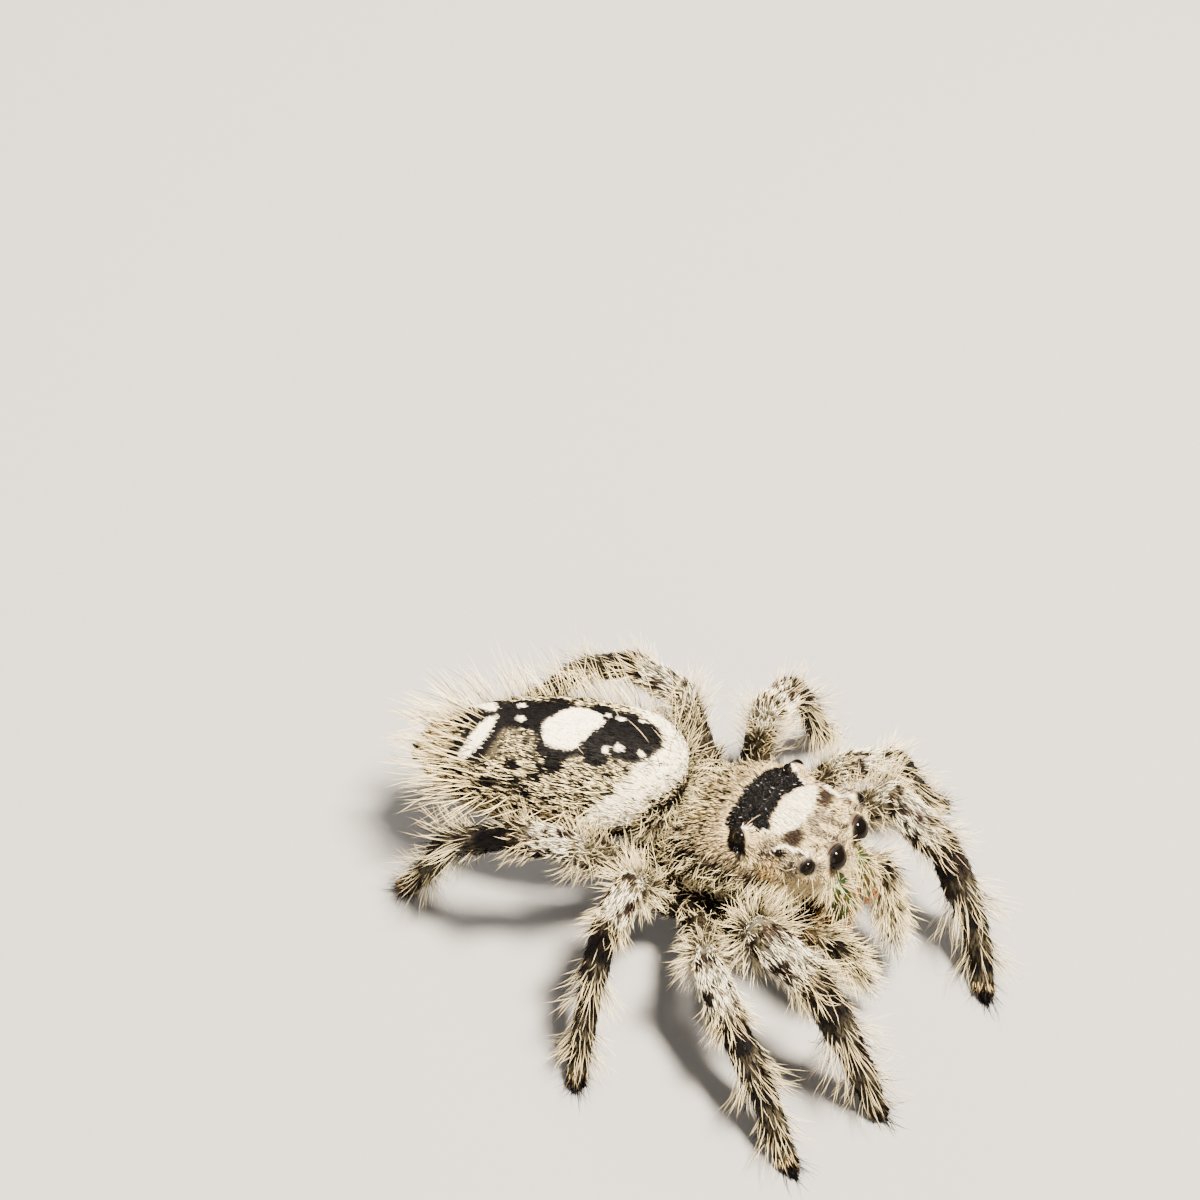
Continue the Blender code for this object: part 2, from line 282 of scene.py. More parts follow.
def makeStudio():
    camera = bpy.data.cameras.new("camera")
    camera.lens = studio["lens"]
    camera.sensor_width = 36
    camera.clip_start, camera.clip_end = studio["clip"]
    item = addItem("camera", camera)
    roll = Matrix.Rotation(math.radians(studio["cameraRoll"]), 4, "Z")
    item.matrix_world = standing(studio["cameraPlace"], studio["cameraAim"]) @ roll
    bpy.context.scene.camera = item
    for name, (spot, size, watts, tone) in studio["lights"].items():
        lamp = bpy.data.lights.new(name, "AREA")
        lamp.shape = "DISK"
        lamp.size = size * mm
        lamp.energy = watts
        lamp.color = tone
        addItem(name, lamp).matrix_world = standing(spot, (0, 0, 0))
    world = bpy.data.worlds.new("studio")
    world.use_nodes = True
    backdrop = world.node_tree.nodes["Background"]
    backdrop.inputs["Color"].default_value = (*studio["worldTone"], 1)
    backdrop.inputs["Strength"].default_value = studio["worldStrength"]
    bpy.context.scene.world = world
    form = bmesh.new()
    bmesh.ops.create_grid(form, x_segments=1, y_segments=1, size=studio["floorSize"] * mm / 2)
    floor = addItem("floor", toMesh(form, "floor"))
    paint = newMaterial("floorPaint", {"Base Color": (*studio["floorTone"], 1), "Roughness": 0.9})[0]
    floor.data.materials.append(paint)


makeStudio()
print("studio ready")


# where things lie: limbs, eyes, head and abdomen, all from the frame

def middleOf(points):
    return np.unique(np.round(points, 3), axis=0).mean(0)


def reachOf(ring, middle):
    return np.linalg.norm(ring - middle, axis=1).mean()


def farEnd(name, fromPoint, count=10):
    points = corners(name)
    order = np.argsort(np.linalg.norm(points - fromPoint, axis=1))
    return points[order[-count:]].mean(0)


limbFacts = ("node", "kind", "limb", "start", "end", "startRadius", "endRadius")


def findLimbs():
    # every limb segment: its node, its two joints, their radii, and the limb it belongs to
    rows = []
    for side in sides:
        for pair in (1, 2, 3, 4):
            limb = f"leg_{side}_{pair}"
            names = [f"{limb}_{segment}" for segment in segments]
            rings = [ringBetween("sternum", names[0])]
            rings += [ringBetween(a, b) for a, b in zip(names, names[1:])]
            foot = corners(names[-1])
            rings.append(foot[foot[:, 2] < 0.002])
            joints = [middleOf(ring) for ring in rings]
            radii = [reachOf(ring, joint) for ring, joint in zip(rings, joints)]
            rows += zip(names, segments, [limb] * 5, joints, joints[1:], radii, radii[1:])
        upper, lower = f"palp_{side}_femur", f"palp_{side}_tarsus"
        ring = ringBetween(upper, lower)
        knee = middleOf(ring)
        radius = reachOf(ring, knee)
        rows.append((upper, "palpFemur", f"palp_{side}", farEnd(upper, knee), knee, radius * 0.75, radius))
        rows.append((lower, "palpTarsus", f"palp_{side}", knee, farEnd(lower, knee), radius, radius * 0.65))
    return [dict(zip(limbFacts, row)) for row in rows]


limbs = findLimbs()

eyeLooks = {                     # the way each left eye looks, in the head's own frame
    "anterior_median": (0.12, -1.0, 0.05),
    "anterior_lateral": (0.50, -0.85, 0.30),
    "posterior_median": (0.75, -0.10, 0.65),
    "posterior_lateral": (0.80, 0.12, 0.58),
}
headTurn = np.array(Euler((math.radians(-12), math.radians(2.5), 0)).to_matrix())
rearEyes = (boxMid("eye_posterior_lateral_left") + boxMid("eye_posterior_lateral_right")) / 2
headMid = rearEyes - headTurn @ np.array((0, -0.65, 1.02))
abdomenTurn = np.array(Euler((math.radians(2), 0, math.radians(30))).to_matrix())
turned = corners("abdomen") @ abdomenTurn
abdomenMid = abdomenTurn @ ((turned.min(0) + turned.max(0)) / 2)
abdomenHalf = (turned.max(0) - turned.min(0)) / 2
waistPlace = np.array((0, -0.98, -0.62)) * abdomenHalf     # its coat fans out from the waist


def findEyes():
    found = []
    for kind, (aside, ahead, above) in eyeLooks.items():
        for side, sign in sides.items():
            name = f"eye_{kind}_{side}"
            low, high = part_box(name)
            look = unit((headTurn @ np.array((aside * sign, ahead, above)))[None])[0]
            found.append({"node": name, "kind": kind, "place": boxMid(name),
                          "radius": (high.z - low.z) / 2 / mm, "look": look})
    return found


eyes = findEyes()
print("frame read:", len(limbs), "limb segments,", len(eyes), "eyes")


# the skin: one closed shell inside the coat

skinShape = {
    # how deep the coat is over each part
    "coatDepth": {"carapace": 0.06, "abdomen": 0.10, "sternum": 0.03, "pedicel": 0.0,
                  "femur": 0.12, "patella": 0.12, "tibia": 0.13, "metatarsus": 0.10, "tarsus": 0.07,
                  "palpFemur": 0.07, "palpTarsus": 0.08},
    "jointSize": 0.94,           # joint balls, against the limb there
    # the mound round an eye: its size, and how far it sits behind, both in eye radii
    "mounds": {"anterior_median": (1.18, 0.28), "anterior_lateral": (1.36, 0.58),
               "posterior_median": (1.35, 0.55), "posterior_lateral": (1.50, 0.78)},
    "cheek": 0.40, "cheekShift": (0, 0.14, 0.24),
    "hip": 0.42, "rearHip": 0.12,
    "mouth": 0.36, "mouthRise": 0.20,
    "waist": (0.50, 0.42, 1.6),  # its two radii and its length
    "grain": 0.0497,             # size of the shell's faces
    "smoothing": 5,
    "floorGap": 0.01,
    # how much of the coat's tint shows on the skin: everywhere, on top of the head, under pale hair
    "cover": (0.10, 0.45, 0.75),
}


def makeSkin():
    depths = skinShape["coatDepth"]
    bodyNodes = ["carapace", "abdomen", "sternum", "pedicel"]
    whole = bmesh.new()
    for name in bodyNodes:
        form = nodeForm(name)
        for corner in form.verts:
            corner.co -= corner.normal * depths[name]
        addForm(whole, form)
    for limb in limbs:
        form = nodeForm(limb["node"])
        start, end = Vector(limb["start"]), Vector(limb["end"])
        axis = (end - start).normalized()
        depth = depths[limb["kind"]]
        for corner in form.verts:
            spoke = corner.co - start - axis * (corner.co - start).dot(axis)
            corner.co -= spoke.normalized() * min(depth, 0.6 * spoke.length)
        for place, radius in ((start, limb["startRadius"]), (end, limb["endRadius"])):
            size = (radius - depth) * skinShape["jointSize"]
            if place.z > radius:
                addBall(form, place, size, 2)
        addForm(whole, form)
    for eye in eyes:
        size, back = skinShape["mounds"][eye["kind"]]
        addBall(whole, eye["place"] - eye["look"] * eye["radius"] * back, eye["radius"] * size)
    for limb in limbs:           # the jaws' and hips' flesh, which joins the limbs to the body
        if limb["kind"] == "palpFemur":
            addBall(whole, Vector(limb["start"]) + Vector(skinShape["cheekShift"]), skinShape["cheek"])
            jaw = limb["limb"].replace("palp", "chelicera")
            low, high = (np.array(corner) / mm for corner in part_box(jaw))
            mouth = ((low[0] + high[0]) / 2, high[1], low[2] + skinShape["mouthRise"])
            addBall(whole, mouth, skinShape["mouth"])
        if limb["kind"] == "femur":
            size = skinShape["hip"] + (skinShape["rearHip"] if limb["limb"].endswith("4") else 0)
            addBall(whole, Vector(limb["start"]) * 0.94 + Vector(boxMid("sternum")) * 0.06, size)
    front, rear, length = skinShape["waist"]
    along = Matrix.Translation(boxMid("pedicel")) @ Matrix.Rotation(math.pi / 2, 4, "X")
    bmesh.ops.create_cone(whole, cap_ends=True, segments=16, radius1=front, radius2=rear, depth=length,
                          matrix=along)
    rough = addItem("skinParts", toMesh(whole, "skinParts"))
    merge = rough.modifiers.new("merge", "REMESH")
    merge.mode = "VOXEL"
    merge.voxel_size = skinShape["grain"]
    merged = rough.evaluated_get(bpy.context.evaluated_depsgraph_get())
    shell = bpy.data.meshes.new_from_object(merged)
    bpy.data.objects.remove(rough)
    form = bmesh.new()
    form.from_mesh(shell)
    smoothForm(form, skinShape["smoothing"])
    for corner in form.verts:
        corner.co.z = max(corner.co.z, skinShape["floorGap"])
    flesh = bodyNodes + [limb["node"] for limb in limbs]
    return finishPiece("skin", form, "shell", flesh), flesh


skin, fleshNodes = makeSkin()
print("skin made:", len(skin.data.polygons), "faces")


# the skin as arrays, with the node each face belongs to

def mapSkin():
    mesh = skin.data
    mesh.calc_loop_triangles()
    points = readAll(mesh.vertices, "co").astype(float) / mm
    normals = readAll(mesh.vertex_normals, "vector").astype(float)
    triangles = readAll(mesh.loop_triangles, "vertices", np.int32)
    spots, faces, owners = [], [], []
    for index, name in enumerate(fleshNodes):
        form = nodeForm(name)
        form.verts.index_update()
        first = len(spots)
        spots += [corner.co.copy() for corner in form.verts]
        faces += [[first + corner.index for corner in face.verts] for face in form.faces]
        owners += [index] * len(form.faces)
        form.free()
    tree = BVHTree.FromPolygons(spots, faces)
    part = np.array([owners[tree.find_nearest(Vector(point))[2]] for point in points])
    ends = points[triangles]
    square = np.cross(ends[:, 1] - ends[:, 0], ends[:, 2] - ends[:, 0])
    return {"points": points, "normals": normals, "triangles": triangles, "part": part,
            "area": np.linalg.norm(square, axis=1) / 2, "up": square[:, 2] > 0}


skinMap = mapSkin()
headPart, abdomenPart, sternumPart, pedicelPart, firstLimb = range(5)
limbStart = np.array([limb["start"] for limb in limbs])
limbRun = np.array([limb["end"] - limb["start"] for limb in limbs])
limbLength = np.linalg.norm(limbRun, axis=1)
limbAxis = limbRun / limbLength[:, None]
limbUp = unit(np.array((0, 0, 1.0)) - limbAxis * limbAxis[:, 2:3] + np.array((1e-6, 0, 0)))
limbSide = np.cross(limbAxis, limbUp)
limbKind = np.array([limb["kind"] for limb in limbs])
print("skin mapped")


def onHead(points):
    return (points - headMid) @ headTurn


def onAbdomen(points):
    # along is -1 at the waist and 1 at the spinnerets; turn is 0 on the right flank, 90 on top
    local = (points - abdomenMid) @ abdomenTurn / abdomenHalf
    return local[:, 1], np.degrees(np.arctan2(local[:, 2], -local[:, 0]))


def onLimb(points, which):
    # along is 0 to 1; turn is 0 on top of the limb and 180 below it
    offset = points - limbStart[which]
    along = (offset * limbAxis[which]).sum(1) / limbLength[which]
    turn = np.degrees(np.arctan2((offset * limbSide[which]).sum(1), (offset * limbUp[which]).sum(1)))
    return along, turn


# markings, the same for skin and coat: a tint, and the share of black hairs in it

abdomenMarks = {
    "midline": (92, 16),         # degrees at the front, and how far it leans by the rear
    "band": (-0.82, 0.0064),     # its brightest line at the midline, and how far back it runs per degree
    "heart": (-0.03, 0.240, 23.5, 46),         # along, half length, half width and slant in degrees
    "frontPatch": (-0.40, 0.335, 25),
    "bars": (0.533, 0.0034, 0.060, 6, 60),   # along, slant, half width, from, to
    # along, degrees from the midline, half size along and across
    "spots": ((0.34, 10, 0.034, 4.0), (-0.31, 18, 0.03, 3.2), (-0.40, 15, 0.03, 3.4),
              (-0.57, 17, 0.025, 2.6)),
    "dots": ((0.35, 58, 0.042, 4.5), (0.33, 72, 0.042, 4.5), (0.17, 55, 0.045, 4), (0.15, 46, 0.035, 4),
             (0.24, 76, 0.04, 4), (0.52, 80, 0.035, 5), (0.06, 38, 0.075, 7), (-0.25, 27, 0.085, 6)),
    "notch": (-0.085, 33, 0.05, 7),            # the pale coat reaches up between two black lobes
}
headMarks = {
    "band": (-0.16, -0.83),      # rear and front edge on the midline
    "spot": (0.0, -1.13, 0.66, 0.31),        # middle and half size
    "darkPatch": (0.53, -1.43, 0.24, 0.21),  # beside the spot, in front of it
    "greyPatch": (0.90, -1.18, 0.15, 0.19),
    # socket: painted shadow in the hollow beside the front side eye
    "socket": (0.99, -1.63, 0.16, 0.20),
    # painted shade: a grey patch in front of the white spot
    "frownShade": (0.0, -1.60, 0.26, 0.11),
    # pale lines: from the spot to the rear eye, and over the small eye to the front one
    "rearLine": ((0.64, -1.00), (0.76, -0.80), (0.86, -0.63)),
    "frontLine": ((0.87, -1.30), (0.77, -1.42), (0.74, -1.66), (0.80, -1.86)),
    # the dark ring round each eye, in eye radii
    "eyeDark": {"anterior_median": 1.16, "anterior_lateral": 1.10, "posterior_median": 1.5,
                "posterior_lateral": 1.36},
    "ringShift": (0, 0.08, -0.03),
}
limbMarks = {                    # along the segment: place, tint, share of black hairs
    "femur": ((0, "grey", 0.7), (0.3, "sand", 0.7), (0.65, "cream", 0.6), (0.85, "cream", 0.45),
              (1, "white", 0.14)),
    "patella": ((0, "cream", 0.3), (0.12, "white", 0.10), (0.7, "white", 0.08), (0.85, "cream", 0.4),
                (1, "sand", 0.6)),
    "tibia": ((0, "dark", 0.95), (0.28, "dark", 0.88), (0.44, "cream", 0.6), (0.70, "white", 0.4),
              (0.92, "cream", 0.5), (1, "dark", 0.85)),
    "metatarsus": ((0, "dark", 0.95), (0.25, "dark", 0.8), (0.40, "cream", 0.6), (0.75, "cream", 0.5),
                   (0.9, "sand", 0.55), (1, "dark", 0.85)),
    "tarsus": ((0, "dark", 0.9), (0.18, "dark", 0.7), (0.4, "cream", 0.45), (0.7, "sand", 0.45),
               (0.88, "dark", 0.8), (1, "black", 1)),
    "palpFemur": ((0, "dark", 0.9), (0.5, "dark", 0.7), (0.8, "sand", 0.4), (1, "cream", 0.2)),
    "palpTarsus": ((0, "dark", 0.7), (0.25, "cream", 0.4), (0.6, "cream", 0.24), (1, "white", 0.15)),
}


def brush(coat, share, tone, blackShare):
    tint, black = coat
    share = np.clip(share, 0, 1)
    tint += (tones[tone] - tint) * share[:, None]
    black += (blackShare - black) * share


def ellipse(along, across, halfAlong, halfAcross, ragged, edge=0.18):
    distance = np.sqrt((along / halfAlong) ** 2 + (across / halfAcross) ** 2) + ragged
    return fade(distance, 1 - edge, 1 + edge)


def between(value, low, high, soft):
    return softStep(value, low - soft, low + soft) * fade(value, high - soft, high + soft)


def stroke(across, along, stops, half):
    # a painted line through the stops
    nearest = np.full(len(across), 9.0)
    for (x, y), (farX, farY) in zip(stops, stops[1:]):
        stepX, stepY = farX - x, farY - y
        share = np.clip(((across - x) * stepX + (along - y) * stepY) / (stepX ** 2 + stepY ** 2), 0, 1)
        nearest = np.minimum(nearest, np.hypot(across - x - share * stepX, along - y - share * stepY))
    return fade(nearest, half * 0.7, half * 1.3)


def abdomenMidline(along):
    front, lean = abdomenMarks["midline"]
    return front + lean * softStep(along, 0.05, 0.35)


def markAbdomen(points, coat, _):
    marks = abdomenMarks
    along, turn = onAbdomen(points)
    across = (turn - abdomenMidline(along) + 180) % 360 - 180
    away = np.abs(across)        # degrees from the midline, 180 on the belly
    ragged = (mottle(points, 0.14, 3) - 0.5) * 0.30
    brush(coat, np.ones(len(along)), "cream", 0.42)
    brush(coat, softStep(away, 60, 95) * 0.5, "sand", 0.50)
    brush(coat, softStep(away + ragged * 20, 110, 140), "grey", 0.45)
    brush(coat, softStep(along, 0.70, 0.95) * 0.6, "sand", 0.12)
    behindBand = along - marks["band"][0] - marks["band"][1] * np.minimum(away, 90)
    brush(coat, fade(behindBand + ragged * 0.3, -0.44, -0.28) * softStep(away, 15, 45), "dark", 0.7)
    inBand = fade(away, 84, 104)
    brush(coat, between(behindBand + ragged * 0.2, -0.30, 0.09, 0.05) * inBand, "white", 0.20)
    brush(coat, between(behindBand, -0.16, 0.05, 0.045) * inBand, "white", 0.07)
    # darker low on the front by the waist: partly the coat's dark hair, partly painted shade under the
    # abdomen
    brush(coat, softStep(away, 84, 106) * fade(along, -0.40, 0.10), "dark", 0.75)
    place, halfLength, halfDegrees = marks["frontPatch"]
    patch = ellipse(np.minimum(along - place, 0), across, halfLength, halfDegrees, ragged * 0.5, 0.08)
    brush(coat, patch * fade(along, -0.16, -0.08), "black", 1)
    onFront = between(along + ragged * 0.1, -0.12, 0.19, 0.02)
    brush(coat, onFront * fade(away + ragged * 16, 30, 35), "black", 1)
    brush(coat, between(along, 0.16, 0.64, 0.03) * fade(away + ragged * 10, 19, 23), "black", 1)
    brush(coat, between(along, 0.60, 0.84, 0.04) * fade(away, 6, 11), "black", 0.9)
    barAlong, slant, halfWidth, low, high = marks["bars"]
    barPlace = along - barAlong - slant * away
    setting = between(barPlace, -halfWidth * 2.4, halfWidth * 2.2, 0.03) * between(away, low - 6, high + 2, 5)
    brush(coat, setting, "black", 1)
    offset, halfBar = away - (low + high) / 2, (high - low) / 2 + 2
    brush(coat, ellipse(barPlace, offset, halfWidth * 1.15, halfBar, ragged * 0.5, 0.08), "white", 0)
    place, degrees, halfLength, halfDegrees = marks["notch"]
    brush(coat, ellipse(along - place, away - degrees, halfLength, halfDegrees, ragged), "cream", 0.26)
    place, halfLength, halfDegrees, slant = marks["heart"]
    shift = across + slant * (along - place)
    rounded = (np.abs((along - place) / halfLength) ** 1.45 + np.abs(shift / halfDegrees) ** 1.45) ** 0.69
    wavy = (mottle(points, 0.30, 8) - 0.5) * 0.16 + ragged * 0.4
    brush(coat, fade(rounded + wavy, 0.96, 1.06), "white", 0)
    for place, degrees, halfLength, halfDegrees in marks["spots"]:
        brush(coat, ellipse(along - place, away - degrees, halfLength, halfDegrees, 0), "white", 0)
    for place, degrees, halfLength, halfDegrees in marks["dots"]:
        brush(coat, ellipse(along - place, away - degrees, halfLength, halfDegrees, ragged), "black", 1)


def markHead(points, coat, _):
    marks = headMarks
    local = onHead(points)
    across, along, height = np.abs(local[:, 0]), local[:, 1], local[:, 2]
    ragged = (mottle(points, 0.12, 5) - 0.5) * 0.22
    streak = mottle(local * np.array((2.6, 0.7, 1)), 0.16, 9)
    top = softStep(height, 0.72, 0.86)
    brush(coat, np.ones(len(along)), "beige", 0.16)
    brush(coat, softStep(along, -0.3, 0.3), "beige", 0.48)
    brush(coat, softStep(0.62 - height + ragged, 0, 0.35), "grey", 0.45)
    brush(coat, softStep(0.42 - height + ragged, 0, 0.3) * softStep(along, -1.6, -1.1), "dark", 0.6)
    # painted shade: darkest at the very bottom of the head, under the face and along its lower rim
    brush(coat, softStep(0.30 - height + ragged, 0, 0.22), "dark", 0.75)
    brush(coat, softStep(-1.0 - along, 0, 0.2) * between(height, 0.30, 0.92, 0.08), "sand", 0.03)
    brush(coat, softStep(-1.3 - along, 0, 0.2) * between(height, 0.12, 0.92, 0.05), "beige", 0.06)
    brow = top * softStep(-1.35 - along, 0, 0.2)
    brush(coat, brow, "pink", 0.16)
    brush(coat, brow * softStep(streak, 0.50, 0.64) * 0.9, "grey", 0.55)
    # the socket and frown patches are painted shade; the grey and dark patches are the coat's own tint
    for name, tone, blackShare, share in (("greyPatch", "grey", 0.55, 1), ("socket", "grey", 0.35, 0.8),
                                          ("frownShade", "grey", 0.45, 1), ("darkPatch", "umber", 0.60, 1)):
        place, placeAlong, halfAcross, halfAlong = marks[name]
        patch = ellipse(along - placeAlong, across - place, halfAlong, halfAcross, ragged * 1.8, 0.42)
        brush(coat, softStep(height, 0.6, 0.75) * patch * share, tone, blackShare)
    rear = marks["band"][0] - 0.25 * across ** 3
    front = marks["band"][1] - 0.45 * across ** 2 + 0.55 * softStep(across, 0.60, 0.88)
    band = between(along + ragged * 0.25, front, rear, 0.03) * softStep(height, 0.69, 0.77)
    place, placeAlong, halfAcross, halfAlong = marks["spot"]
    spot = ellipse(along - placeAlong, across - place, halfAlong, halfAcross, ragged * 0.4, 0.12)
    brush(coat, top * spot, "white", 0)
    brush(coat, top * spot * softStep(along - front, -0.10, -0.02) * 0.45, "amber", 0)
    brush(coat, band, "black", 1)
    below = np.hypot(np.hypot(across - 1.19, along + 0.70), height - 0.68)
    brush(coat, fade(below, 0.05, 0.12), "dark", 0.7)
    for eye in eyes:
        shift = headTurn @ np.array(marks["ringShift"]) if eye["kind"] == "posterior_lateral" else 0
        gap = np.linalg.norm(points - eye["place"] - shift, axis=1) / eye["radius"]
        wide = marks["eyeDark"][eye["kind"]]
        if eye["kind"] in ("anterior_median", "anterior_lateral"):
            warm = fade(gap, wide + 0.10, wide + 0.35) * softStep(0.86 - height, 0, 0.2) * 0.4
            brush(coat, warm, "amber", 0)
        brush(coat, fade(gap, wide - 0.15, wide), "black", 1)
    for name, half in (("frontLine", 0.042), ("rearLine", 0.034)):
        brush(coat, stroke(across, along, marks[name], half) * softStep(height, 0.74, 0.84), "white", 0)


def markLimbs(points, coat, which):
    tint, black = coat
    along, turn = onLimb(points, which)
    blotch = mottle(points, 0.13, 11)
    for kind, stops in limbMarks.items():
        here = limbKind[which] == kind
        if not here.any():
            continue
        place = np.clip(along[here] + (blotch[here] - 0.5) * 0.12, 0, 1)
        spots = [stop[0] for stop in stops]
        for channel in range(3):
            tint[here, channel] = np.interp(place, spots, [tones[stop[1]][channel] for stop in stops])
        black[here] = np.interp(place, spots, [stop[2] for stop in stops])
    onKnee, onShin = limbKind[which] == "patella", limbKind[which] == "tibia"
    brown = softStep(blotch, 0.60 + 0.05 * onKnee, 0.70 + 0.05 * onKnee) * (onKnee | onShin) * 0.85
    brush(coat, brown, "brown", 0.5)
    net = fade(np.abs(mottle(points, 0.24, 15) - 0.5), 0.015, 0.04)
    brush(coat, net * onKnee * 0.8, "brown", 0.4)
    brush(coat, softStep(np.abs(turn), 110, 150) * 0.45, "grey", 0.45)


def marksAt(points, part):
    tint = np.tile(tones["dark"], (len(points), 1))
    black = np.full(len(points), 0.6)
    for here, mark in ((part == headPart, markHead), (part == abdomenPart, markAbdomen),
                       (part >= firstLimb, markLimbs)):
        if here.any():
            coat = tint[here], black[here]
            mark(points[here], coat, part[here] - firstLimb)
            tint[here], black[here] = coat
    return tint, black


def tintSkin():
    tint, black = marksAt(skinMap["points"], skinMap["part"])
    local = onHead(skinMap["points"])
    onTop = (skinMap["part"] == headPart) * softStep(local[:, 2], 0.5, 0.8)
    onTop = onTop * fade(local[:, 1], -0.20, 0.10)
    bright = softStep(tint.min(1), 0.55, 0.75) * (skinMap["part"] < firstLimb)
    least, head, pale = skinShape["cover"]
    cover = ((least + np.maximum(head * onTop, pale * bright)) * (1 - black))[:, None]
    giveTint(skin.data, tones["black"] * 1.3 * (1 - cover) + tint * cover)


tintSkin()
print("skin marked")


# the coat: closed tapering hairs, three-sided, thousands to a piece

def scatter(random, count, weight):
    # roots over the skin, as many where the weight is high
    running = np.cumsum(weight * skinMap["area"])
    picked = np.searchsorted(running, random.random(count) * running[-1])
    first, second = random.random(count), random.random(count)
    over = first + second > 1
    first[over], second[over] = 1 - first[over], 1 - second[over]
    ends = skinMap["triangles"][picked]
    shares = np.stack([1 - first - second, first, second], axis=1)[:, :, None]
    points = (skinMap["points"][ends] * shares).sum(1)
    normals = unit((skinMap["normals"][ends] * shares).sum(1))
    return points, normals, skinMap["part"][ends[:, 0]]


def lieOfCoat(points, part):
    # the way the hair lies, before it is laid along the skin
    lie = np.tile(np.array((0, 1.0, -0.3)), (len(points), 1))
    here = part == headPart
    if here.any():
        local = onHead(points[here])
        across, along, height = local.T
        forward, backward, downward, faceDown = (
            np.outer(across, (spread, 0, 0)) + (0, ahead, fall) for spread, ahead, fall in
            ((0.25, -1, -0.1), (0.55, 1, -0.2), (0.1, 0.55, -0.75), (0.3, -0.3, -1)))
        flow = backward + (forward - backward) * softStep(-along, 0.55, 0.85)[:, None]
        flank = softStep(0.80 - height, 0, 0.25)[:, None]
        flow = flow + (downward - flow) * flank
        face = (softStep(-along, 1.95, 2.2) * softStep(0.95 - height, 0, 0.2))[:, None]
        flow = flow + (faceDown - flow) * face
        lie[here] = flow @ headTurn.T
    here = part == abdomenPart
    if here.any():
        local = (points[here] - abdomenMid) @ abdomenTurn
        flow = unit(local - waistPlace) + np.array((0, 0.35, 0))
        lie[here] = flow @ abdomenTurn.T
    here = part >= firstLimb
    lie[here] = limbAxis[part[here] - firstLimb]
    for eye in eyes:             # the coat parts round each eye
        offset = points - eye["place"]
        gap = np.linalg.norm(offset, axis=1) / eye["radius"]
        near = fade(gap, 1.3, 2.0)[:, None]
        spread = unit(offset - eye["look"] * (offset @ eye["look"])[:, None])
        lie = lie * (1 - near) + spread * near
    return lie


def unwrapRoots(points, part):
    # each root's own place on an unrolled skin: strips for limbs, one sheet for a body part
    across, along = np.zeros(len(points)), np.zeros(len(points))
    here = part == abdomenPart
    if here.any():
        place, turn = onAbdomen(points[here])
        across[here], along[here] = turn / 360 + 0.5, place / 2 + 0.5
    here = (part < firstLimb) & (part != abdomenPart)
    if here.any():
        local = onHead(points[here])
        across[here] = np.arctan2(local[:, 2], local[:, 0]) / (2 * math.pi) + 0.5
        along[here] = (local[:, 1] + 2.5) / 4.2
    here = part >= firstLimb
    if here.any():
        which = part[here] - firstLimb
        place, turn = onLimb(points[here], which)
        used, strip = np.unique(which, return_inverse=True)
        across[here] = (strip.reshape(-1) + turn / 360 + 0.5) / len(used)
        along[here] = place * 0.8 + 0.1
    return np.clip(np.stack([across, along], axis=1), 0.003, 0.997)


hairForm = {"rootDepth": 0.008, "taper": 0.75, "taperPower": 1.6, "flatness": 0.7, "shadeRise": 2.2,
            "floorGap": 0.012, "patch": 0.001}


def grow(hair):
    # lift is each hair's slope at its root and bend how much it loses by its tip, in radians
    normals, lift, bend, rings = hair["normals"], hair["lift"], hair["bend"], hair["rings"]
    count = len(normals)
    side = unit(np.cross(hair["lie"], normals))
    flow = unit(np.cross(normals, side))
    stops = np.linspace(0, 1, rings + 1)
    rootShade = np.broadcast_to(hair["rootShade"], count)[:, None]
    unwrapped = hair["unwrapped"] if "unwrapped" in hair else unwrapRoots(hair["points"], hair["part"])
    place = hair["points"] - normals * hairForm["rootDepth"]
    verts, shades, patch = (np.empty((count, rings * 3 + 1, width)) for width in (3, 3, 2))
    for ring in range(rings + 1):
        slope = lift - bend * stops[ring]
        heading = flow * np.cos(slope)[:, None] + normals * np.sin(slope)[:, None]
        heading = unit(heading + side * (hair["sway"] * (stops[ring] * 2 - 0.4))[:, None])
        if ring:
            place = place + heading * (hair["length"] / rings)[:, None]
        across = unit(np.cross(heading, np.cross(side, heading)))
        over = np.cross(heading, across)
        # painted shade: each hair darkens toward its root, standing in for the shade deep in the coat
        shade = hair["tint"] * (rootShade + (1 - rootShade) * min(1, stops[ring] * hairForm["shadeRise"]))
        shades[:, ring * 3:ring * 3 + 3] = shade[:, None]
        if ring == rings:
            verts[:, -1] = place
            patch[:, -1] = unwrapped
            break
        thick = (hair["width"] / 2 * (1 - hairForm["taper"] * stops[ring] ** hairForm["taperPower"]))[:, None]
        for corner in range(3):
            angle = 2 * math.pi * corner / 3 + math.pi / 6
            column = ring * 3 + corner
            spoke = across * math.cos(angle) + over * math.sin(angle) * hairForm["flatness"]
            verts[:, column] = place + spoke * thick
            patch[:, column] = unwrapped + np.array((corner - 1, stops[ring] * 3 - 1.5)) * hairForm["patch"]
    height, gap = verts[:, :, 2], hairForm["floorGap"]           # no hair goes into the floor
    verts[:, :, 2] = np.where(height < gap, gap + (height - gap) * 0.02, height)
    return {"verts": verts, "shades": shades, "patch": patch, "rings": rings}


def hairFaces(rings):
    faces = [(2, 1, 0)]
    for ring in range(rings - 1):
        for corner in range(3):
            here, after = ring * 3 + corner, ring * 3 + (corner + 1) % 3
            faces += [(here, after, after + 3), (here, after + 3, here + 3)]
    last = (rings - 1) * 3
    faces += [(last + corner, last + (corner + 1) % 3, rings * 3) for corner in range(3)]
    return np.array(faces)


